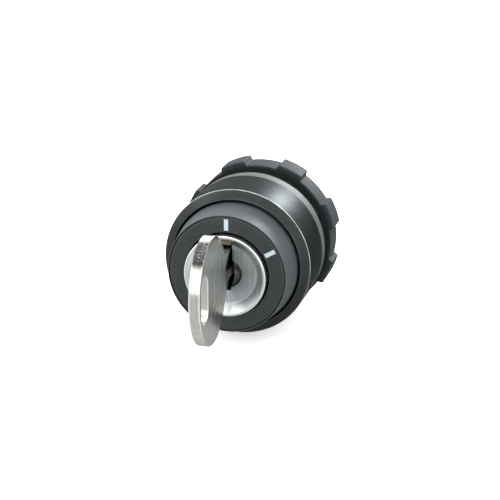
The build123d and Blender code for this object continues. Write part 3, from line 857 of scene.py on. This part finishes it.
@dataclass
class FlatKey:
    """The key: oval bow with an oblong hole, and a grooved blade with five cuts."""

    paints: Paintbox
    body: str = "key_blade"
    bow_centre: tuple[float, float] = (-33.2, 1.0)
    bow_half: tuple[float, float] = (8.7, 10.75)
    hole_centre: tuple[float, float] = (-38.5, 1.2)
    hole_size: tuple[float, float] = (5.1, 10.2)
    blade_bottom: float = -3.2
    blade_top: float = 5.4
    tip: float = 1.6
    first_cut: float = -14.5
    cut_pitch: float = 3.0
    cut_depths: tuple[float, ...] = (0.7, 1.2, 0.9, 1.4, 0.8)
    half_thickness: float = 1.1
    rounding: float = 0.28
    shoulder: float = -24.9
    # heights of the painted dark reflection on the rim's upper front
    dark_band_heights: tuple[float, float] = (7.6, 11.8)
    blade_sides: tuple[float, float] = (-0.9, 0.75)
    upper_groove: tuple[tuple[float, float], ...] = ((-21.3, 5.0), (-24.8, 1.4), (4.0, 1.4), (4.0, 5.0))
    upper_floor: float = 0.4
    lower_groove: tuple[tuple[float, float], ...] = ((-21.5, -0.4), (-25.2, -4.0), (4.0, -4.0), (4.0, -0.4))
    lower_floor: float = 0.1
    left_groove_start: float = -20.0
    left_groove_heights: tuple[float, float] = (-0.9, 0.5)
    left_groove_depth: float = 0.3
    cutter_end: float = 4.0
    cutter_half_height: float = 8.0

    def outer_path(self) -> np.ndarray:
        """Outer outline as (axial, height) rows: the bow's ellipse, then the blade with its cuts."""
        (cy, cz), (ry, rz) = self.bow_centre, self.bow_half
        top = math.asin((self.blade_top - cz) / rz)
        bottom = math.asin((self.blade_bottom - cz) / rz)
        q = np.linspace(top, 2 * np.pi + bottom, 180)
        bow = np.column_stack([cy + ry * np.cos(q), cz + rz * np.sin(q)])
        cuts = []
        for k, depth in enumerate(self.cut_depths):
            y, z = self.first_cut + k * self.cut_pitch, self.blade_bottom
            cuts += [(y - 0.8, z), (y - 0.45, z + depth), (y + 0.45, z + depth), (y + 0.8, z)]
        end = [(self.tip - 1.8, self.blade_bottom), (self.tip - 0.1, 0.0), (self.tip, 0.5), (self.tip, 1.8),
               (self.tip - 0.1, 2.3), (self.tip - 1.8, self.blade_top)]
        return np.vstack([bow, cuts, end])

    def hole_path(self) -> np.ndarray:
        """The bow's hole as (axial, height) rows: two half circles joined by straight sides."""
        (cy, cz), (width, height) = self.hole_centre, self.hole_size
        r, straight = width / 2, height / 2 - width / 2
        q = np.linspace(0, np.pi, 24)
        upper = np.column_stack([cy + r * np.cos(q), cz + straight + r * np.sin(q)])
        lower = np.column_stack([cy - r * np.cos(q), cz - straight - r * np.sin(q)])
        return np.vstack([upper, lower])

    def rim(self, path: np.ndarray, inward: float) -> tuple[np.ndarray, np.ndarray]:
        """Carries the rounded edge section along a closed path.

        Each section point is the path point moved towards the plate by R (1 - cos q) and out of its mid
        plane by half thickness - R (1 - sin q).

        Args:
            path: (n, 2) rows of axial place and height.
            inward: 1 if the plate lies to the left of the path, -1 if to the right.

        Returns:
            (m, n, 3) places, and the (m,) edge values.
        """
        ahead = np.roll(path, -1, 0) - path
        behind = path - np.roll(path, 1, 0)
        u = ahead / np.linalg.norm(ahead, axis=1)[:, None]
        v = behind / np.linalg.norm(behind, axis=1)[:, None]
        along = u + v
        along /= np.linalg.norm(along, axis=1)[:, None]
        miter = 1 / np.clip((along * u).sum(1), 0.6, 1)
        towards = inward * np.column_stack([-along[:, 1], along[:, 0]]) * miter[:, None]
        q = np.linspace(0, np.pi / 2, 6)
        inset = np.concatenate([self.rounding * (1 - np.sin(q)), self.rounding * (1 - np.sin(q[::-1]))])
        height = self.half_thickness - self.rounding * (1 - np.cos(q))
        height = np.concatenate([-height, height[::-1]])
        places = path[None] + towards[None] * inset[:, None, None]
        x = np.broadcast_to(height[:, None, None], (len(height), len(path), 1))
        edge = np.where(inset > 0.02 * self.rounding, 1.0, 0.5)
        edge[[0, -1]] = 0.0
        return np.concatenate([x, places], 2), edge

    def painted_dark(self, x: np.ndarray, y: np.ndarray, z: np.ndarray) -> np.ndarray:
        """Painted darkness: painted shade on the floors of the right grooves, and a painted dark reflection
        on the rim's upper front.

        On the rim the elliptic radius is nearly 1.
        """
        (cy, cz), (ry, rz) = self.bow_centre, self.bow_half
        radius = np.hypot((y - cy) / ry, (z - cz) / rz)
        low, high = self.dark_band_heights
        band = np.clip((z - low) / 0.8, 0, 1) * np.clip((high - z) / 0.5, 0, 1)
        in_grooves = (x > self.lower_floor - 0.05) & (x < self.upper_floor + 0.05)
        groove_floors = in_grooves & (y > self.shoulder - 0.5)
        return np.maximum(band * (radius > 0.985) * (y < cy), groove_floors)

    def build(self) -> None:
        """Joins the two rims with flat faces, and cuts the blade's sides and grooves."""
        outer, outer_edge = self.rim(self.outer_path(), 1)
        hole, hole_edge = self.rim(self.hole_path(), 1)
        hole = hole[:, ::-1]
        m, n, k = len(outer), outer.shape[1], hole.shape[1]
        places = np.vstack([outer.reshape(-1, 3), hole.reshape(-1, 3)])
        faces = grid_faces(m, n, False).tolist() + (grid_faces(m, k, False) + m * n).tolist()
        for row in (0, m - 1):
            loops = [outer[row], hole[row]]
            numbers = np.concatenate([row * n + np.arange(n), m * n + row * k + np.arange(k)])
            triangles = tessellate_polygon([[Vector(p) for p in loop] for loop in loops])
            faces += [[int(numbers[i]) for i in triangle] for triangle in triangles]
        edge = np.concatenate([np.repeat(outer_edge, n), np.repeat(hole_edge, k)])
        piece = mesh_piece("flat_key", places, faces, edge, 50.0)
        half, end, tall = self.half_thickness + 1.0, self.cutter_end, self.cutter_half_height
        left, right = self.blade_sides
        bottom, top = self.left_groove_heights
        cut(piece, block_piece("right_side", (right, self.shoulder, -tall), (half, end, tall), 0.15),
            block_piece("left_side", (-half, self.shoulder, -tall), (left, end, tall), 0.15),
            prism_piece("upper_groove", np.array(self.upper_groove), (self.upper_floor, half), 0),
            prism_piece("lower_groove", np.array(self.lower_groove), (self.lower_floor, half), 0),
            block_piece("left_groove", (-half, self.left_groove_start, bottom),
                        (left + self.left_groove_depth, end, top), 0.1))
        # painted shade on the groove floors and a painted dark reflection on the rim's upper front
        mark(piece, "painted_dark", self.painted_dark)
        # the flat faces and the milled blade are rougher than the rim, and painted darker: a painted shade
        # of their darker reflection
        mark(piece, "rough_painted_shade",
             lambda x, y, z: (np.abs(x) > self.half_thickness - 0.01) | (y > self.shoulder - 0.01))
        place_piece(piece, Finishes.NICKEL, self.paints, "key", self.body)


@dataclass
class Neck:
    """The housing behind the bezel, with its threaded neck, and the panel gasket."""

    paints: Paintbox
    body: str = "body"
    crest: float = 10.9
    root: float = 10.15
    relief: float = 10.5
    gasket_bore: float = 11.15
    tube_bore: float = 8.65
    tube_radius: float = 10.2
    seat_floor: float = -4.8
    boss_bore: float = 11.6
    boss_radius: float = 13.8
    boss_front: float = -11.1
    flange_front: float = -3.6
    flange_radii: tuple[float, float] = (15.05, 15.0)
    gasket_face: float = -0.8
    neck_radius: float = 11.0
    pilot_end: float = 1.6
    rear_chamfer: float = 10.0
    chamber: float = 9.4
    chamber_front: float = 2.6
    pitch: float = 1.5
    thread_start: float = 2.0
    thread_end: float = 15.2
    segments: int = 240

    def thread(self, angle: np.ndarray, outline: np.ndarray) -> np.ndarray:
        """Height of a right-hand thread over its root.

        The phase is axial place over pitch, less the angle in turns. The tooth is a triangle wave of the
        phase, clipped flat at crest and root, and it fades out over the last half pitch at each end.
        """
        y, on_thread = outline[..., 1], np.abs(outline[..., 0] - self.root) < 1e-6
        phase = (y / self.pitch - angle / (2 * np.pi)) % 1.0
        tooth = np.clip((1 - np.abs(2 * phase - 1)) * 1.35 - 0.12, 0, 1)
        fade = np.clip(np.minimum(y - self.thread_start, self.thread_end - y) / (0.5 * self.pitch), 0, 1)
        return (self.crest - self.root) * tooth * fade * on_thread

    def housing(self) -> None:
        """Flange, boss, barrel tube and neck in one turned surface, with the thread as a swell."""
        at = Extent.of("housing")
        outline = rounded_outline([
            Corner(self.tube_bore, at.front, 0.1),
            Corner(self.tube_radius, at.front, 0.1),
            Corner(self.tube_radius, self.seat_floor, 0.1),
            Corner(self.boss_bore, self.seat_floor, 0.1),
            Corner(self.boss_bore, self.boss_front, 0.1),
            Corner(self.boss_radius, self.boss_front, 0.3),
            Corner(self.boss_radius, self.flange_front, 0.05),
            Corner(self.flange_radii[0], self.flange_front, 0.06, 0.2),
            Corner(self.flange_radii[1], self.gasket_face, 0.2, 0.3),
            Corner(self.relief, self.gasket_face, 0.05),
            Corner(self.relief, 0.0, 0.05),
            Corner(self.neck_radius, 0.0, 0.05),
            Corner(self.neck_radius, self.pilot_end, 0.15),
            Corner(self.root, self.pilot_end + 0.3, 0.0),
            Corner(self.root, self.thread_end, 0.0),
            Corner(self.rear_chamfer, at.rear, 0.1),
            Corner(self.chamber, at.rear, 0.1),
            Corner(self.chamber, self.chamber_front, 0.1),
            Corner(self.tube_bore, self.chamber_front, 0.1),
        ])
        neck = densify(outline, 0.09, 1.9, self.thread_end)
        # the smooth bore keeps only its corners
        inner = neck[:, 0] < self.chamber + 0.1
        neck = neck[~inner | (np.abs(neck[:, 2]) > 0) | (np.diff(neck[:, 1], append=neck[0, 1]) < -0.2)]
        piece = turned_piece("housing_body", neck, self.segments, self.thread)
        place_piece(piece, Finishes.FLANGE, self.paints, "housing", self.body)

    def gasket(self) -> None:
        """The flat gasket behind the flange."""
        at = Extent.of("panel_gasket")
        outline = rounded_outline([
            Corner(self.gasket_bore, at.front, 0.1),
            Corner(at.radius, at.front, 0.2),
            Corner(at.radius, at.rear, 0.2),
            Corner(self.gasket_bore, at.rear, 0.1),
        ])
        piece = turned_piece("gasket_ring", outline, self.segments)
        place_piece(piece, Finishes.RUBBER, self.paints, "panel_gasket", self.body)

    def build(self) -> None:
        """Builds the housing and the gasket."""
        self.housing()
        self.gasket()


@dataclass
class Fastening:
    """The ring nut."""

    paints: Paintbox
    lug_count: int = 8
    lug_half_angle: float = 9.0
    lug_slope_angle: float = 1.9
    first_lug: float = 24.0
    rim_radius: float = 15.45
    lug_radius: float = 16.4
    lug_root: float = 0.58
    swell_start: float = 0.6
    swell_width: float = 0.2
    bore: float = 10.97
    bore_chamfer: float = 0.5

    def lug_window(self, angle: np.ndarray) -> np.ndarray:
        """1 on a lug and 0 between lugs, with a smooth slope at each side.

        It depends on the distance to the nearest lug's middle.
        """
        step = 2 * np.pi / self.lug_count
        offset = np.abs((angle - math.radians(self.first_lug) + step / 2) % step - step / 2)
        foot = math.radians(self.lug_half_angle + self.lug_slope_angle)
        share = np.clip((foot - offset) / math.radians(self.lug_slope_angle), 0, 1)
        return share * share * (3 - 2 * share)

    def nut(self) -> None:
        """The ring nut: its rim swells by the lug height inside each lug's window."""
        at = Extent.of("mounting_nut")
        outline = rounded_outline([
            Corner(self.bore + self.bore_chamfer, at.front, 0.1),
            Corner(self.rim_radius - self.lug_root, at.front, 0.0),
            Corner(self.rim_radius, at.front, 0.35),
            Corner(self.rim_radius, at.rear, 0.35),
            Corner(self.bore + self.bore_chamfer, at.rear, 0.1),
            Corner(self.bore, at.rear - self.bore_chamfer, 0.1),
            Corner(self.bore, at.front + self.bore_chamfer, 0.1),
        ])
        step = 2 * np.pi / self.lug_count
        centre = math.radians(self.first_lug)
        near = math.radians(self.lug_half_angle)
        far = near + math.radians(self.lug_slope_angle)
        half = np.concatenate([np.linspace(0, near, 9), np.linspace(near, far, 7)[1:],
                               np.linspace(far, step / 2, 9)[1:]])
        one = np.concatenate([-half[:0:-1], half])[:-1]
        turns = np.concatenate([one + centre + k * step for k in range(self.lug_count)])

        def swell(angle: np.ndarray, rows: np.ndarray) -> np.ndarray:
            """Lug height times the lug window, on the outer part of the outline only."""
            outer = np.clip((rows[..., 0] - self.rim_radius + self.swell_start) / self.swell_width, 0, 1)
            return (self.lug_radius - self.rim_radius) * self.lug_window(angle) * outer

        piece = turned_piece("ring_nut", outline, turns, swell)
        # painted shade: the front face, close behind the flange, is painted darker and made rougher
        mark(piece, "rough_painted_shade",
             lambda x, y, z: np.clip((self.rim_radius - 0.1 - np.hypot(x, z)) / 0.4, 0, 1)
             * (y < at.front + 0.6))
        place_piece(piece, Finishes.NUT, self.paints, "mounting_nut", "nut")

    def build(self) -> None:
        """Builds the nut."""
        self.nut()


@dataclass
class PlungerSprings:
    """The return springs behind the plungers."""

    paints: Paintbox
    offset: float = 6.9
    coil_radius: float = 1.5
    wire_radius: float = 0.2
    turns: float = 4.5
    seat: float = 16.2
    travel: float = 3.0

    def spring(self, side: str, sign: int) -> None:
        """One spring: a round wire carried along a helix.

        The wire's middle is at (c + R cos q, y, R sin q), with y in proportion to q. Round it the section
        turns by p between the outward direction n and the direction b = t x n, where t is the tangent.

        Args:
            side: left or right.
            sign: -1 on the left, 1 on the right.
        """
        node = f"plunger_spring_{side}"
        at = Extent.of(node)
        q = np.linspace(0, 2 * np.pi * self.turns, int(24 * self.turns) + 1)
        start, end = at.front + self.wire_radius, at.rear - self.wire_radius
        climb = (end - start) / q[-1]
        outward = np.column_stack([np.cos(q), np.zeros_like(q), np.sin(q)])
        middle = outward * self.coil_radius + np.array([sign * self.offset, start, 0.0])
        middle[:, 1] += climb * q
        tangent = np.column_stack([-np.sin(q), np.full_like(q, climb / self.coil_radius), np.cos(q)])
        tangent /= np.linalg.norm(tangent, axis=1)[:, None]
        across = np.cross(tangent, outward)
        p = np.linspace(0, 2 * np.pi, 10, endpoint=False)[:, None]
        ring = np.cos(p) * outward[:, None] + np.sin(p) * across[:, None]
        places = (middle[:, None] + self.wire_radius * ring).reshape(-1, 3)
        piece = mesh_piece(f"{side}_return_spring", places, capped_tube_faces(len(q), len(p)))
        place_piece(piece, Finishes.STEEL, self.paints, node, "body")
        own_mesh(piece)

    def build(self) -> None:
        """Builds both springs."""
        self.spring("left", -1)
        self.spring("right", 1)


CARRIED_OVER: dict[str, Finish] = {
    "position_marks": Finishes.MARK,
    "face_seal": Finishes.RUBBER,
    "collar_o_ring": Finishes.RUBBER,
    "lock_barrel": Finishes.CASTING,
    "barrel_clip": Finishes.STEEL,
    "rear_guide": Finishes.BLACK,
    # the plug is painted nearly black, as painted shade inside the keyway
    "lock_plug": Finishes.SHADOWED_BRASS,
    "wafer_tumblers": Finishes.BRASS,
    "wafer_springs": Finishes.STEEL,
    "plug_clip": Finishes.STEEL,
    "drive_cam": Finishes.BLACK,
    "cam_washer": Finishes.STEEL,
    "cam_screw": Finishes.STEEL,
    "plunger_left": Finishes.NATURAL,
    "plunger_right": Finishes.NATURAL,
    "lock_washer": Finishes.STEEL,
}


@dataclass
class Mechanism:
    """The CAD nodes whose shape stays as it is."""

    paints: Paintbox

    def build(self) -> None:
        """Gives each node its finish."""
        for node, finish in CARRIED_OVER.items():
            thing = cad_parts[node]
            for holder in thing.material_slots:
                holder.material = self.paints.material(finish)
            if not thing.material_slots:
                thing.data.materials.append(self.paints.material(finish))
            LOG.info("%s: carried over from the frame", node)


@dataclass(frozen=True)
class Lamp:
    """A square soft light: place and side in mm, power in watts, and whether it lights matt surfaces."""

    name: str
    place: tuple[float, float, float]
    side: float
    power: float
    lights_matt: bool = True


@dataclass
class Studio:
    """Pale floor, soft lights and the camera."""

    azimuth: float = 15.91
    elevation: float = 19.33
    distance: float = 333.3
    aim_right: float = -1.12
    aim_up: float = -1.914
    lens: float = 115.7
    floor_drop: float = 0.2
    front_glow: float = 1.9
    top_glow: float = 1.1
    rear_low_glow: float = 0.9
    rear_glow: float = 2.8
    front_ground: float = 0.68
    rear_ground: float = 0.5
    side_ground: float = 0.6
    floor_tone: float = 0.93
    floor_glow: float = 0.45
    floor_half: float = 3000.0
    lamp_target: tuple[float, float, float] = (0, -8, 0)
    lamps: tuple[Lamp, ...] = (
        Lamp("overhead", (0, -40, 500), 420, 0.7),
        Lamp("rear_kicker", (88, 356, 166), 90, 2.2, False),
        Lamp("upper_left", (-320, -160, 300), 220, 0.4),
    )

    def camera(self) -> None:
        """Camera that looks along the line of sight, moved sideways so that the origin is off centre."""
        a, e = math.radians(self.azimuth), math.radians(self.elevation)
        back = Vector((math.sin(a) * math.cos(e), -math.cos(a) * math.cos(e), math.sin(e)))
        right = Vector((math.cos(a), math.sin(a), 0))
        up = back.cross(right)
        data = bpy.data.cameras.new("camera")
        data.lens, data.sensor_width = self.lens, 36.0
        data.clip_start, data.clip_end = 0.01, 10.0
        camera = bpy.data.objects.new("camera", data)
        place = back * self.distance + right * self.aim_right + up * self.aim_up
        turn = Matrix((right, up, back)).transposed().to_4x4()
        camera.matrix_world = Matrix.Translation(place * MM) @ turn
        bpy.context.scene.collection.objects.link(camera)
        bpy.context.scene.camera = camera

    def floor(self) -> None:
        """A wide pale floor just under the lowest point."""
        level = CAD_BOX[0][2] / MM - self.floor_drop
        corners = ((-1, -1), (1, -1), (1, 1), (-1, 1))
        places = np.array([(self.floor_half * x, self.floor_half * y, level) for x, y in corners])
        floor = mesh_piece("floor", places, [(0, 1, 2, 3)])
        material = bpy.data.materials.new("pale_floor")
        material.use_nodes = True
        shader = material.node_tree.nodes["Principled BSDF"]
        shader.inputs["Base Color"].default_value = (self.floor_tone, self.floor_tone, self.floor_tone, 1)
        shader.inputs["Roughness"].default_value = 0.9
        shader.inputs["Specular IOR Level"].default_value = 0.1
        shader.inputs["Emission Color"].default_value = (1, 1, 1, 1)
        shader.inputs["Emission Strength"].default_value = self.floor_glow
        floor.data.materials.append(material)
        floor.visible_glossy = False
        floor.visible_diffuse = False

    def hang(self, lamp: Lamp) -> None:
        """Hangs a lamp and points it at the switch."""
        data = bpy.data.lights.new(lamp.name, "AREA")
        data.size, data.energy = lamp.side * MM, lamp.power
        light = bpy.data.objects.new(lamp.name, data)
        place = Vector(lamp.place)
        light.location = place * MM
        light.rotation_mode = "QUATERNION"
        light.rotation_quaternion = (Vector(self.lamp_target) - place).to_track_quat("-Z", "Y")
        light.visible_diffuse = lamp.lights_matt
        bpy.context.scene.collection.objects.link(light)

    def surroundings(self) -> None:
        """Soft surroundings by direction: bright above the horizon, brightest behind, and dimmer below."""
        world = bpy.data.worlds.new("surroundings")
        world.use_nodes = True
        g = Graph(world.node_tree)
        x, y, z = g.split(g.add("TexCoord").outputs["Generated"])
        front = g.spread(z, 0.55, 0.75, self.front_glow, self.top_glow)
        rear = g.spread(z, 0.05, 0.3, self.rear_low_glow, self.rear_glow)
        above = g.add("Mix", data_type="FLOAT")
        g.feed(above.inputs[0], g.spread(y, 0.2, 0.6))
        g.feed(above.inputs[2], front)
        g.feed(above.inputs[3], rear)
        ground = g.spread(y, 0.1, 0.5, self.front_ground, self.rear_ground)
        sides = g.spread(g.math("ABSOLUTE", x), 0.4, 0.8, 0.0, self.side_ground)
        below = g.math("ADD", ground, sides)
        both = g.add("Mix", data_type="FLOAT")
        g.feed(both.inputs[0], g.spread(z, -0.02, 0.02))
        g.feed(both.inputs[2], below)
        g.feed(both.inputs[3], above.outputs[0])
        back = g.add("Background")
        back.inputs["Color"].default_value = (1, 1, 1, 1)
        g.feed(back.inputs["Strength"], both.outputs[0])
        g.feed(g.add("OutputWorld").inputs["Surface"], back.outputs[0])
        bpy.context.scene.world = world

    def lights(self) -> None:
        """Hangs the lamps and sets the surroundings."""
        for lamp in self.lamps:
            self.hang(lamp)
        self.surroundings()

    def build(self) -> None:
        """Sets the stage."""
        self.camera()
        self.floor()
        self.lights()
        bpy.context.scene.view_settings.view_transform = "Standard"


def main() -> None:
    """Builds the switch and its stage."""
    logging.basicConfig(level=logging.INFO, format="%(name)s %(message)s")
    paints = Paintbox()
    Studio().build()
    for part in (Bezel(paints), LockFace(paints), FlatKey(paints), Neck(paints), Fastening(paints),
                 PlungerSprings(paints), Mechanism(paints)):
        part.build()


if __name__ == "__main__":
    main()
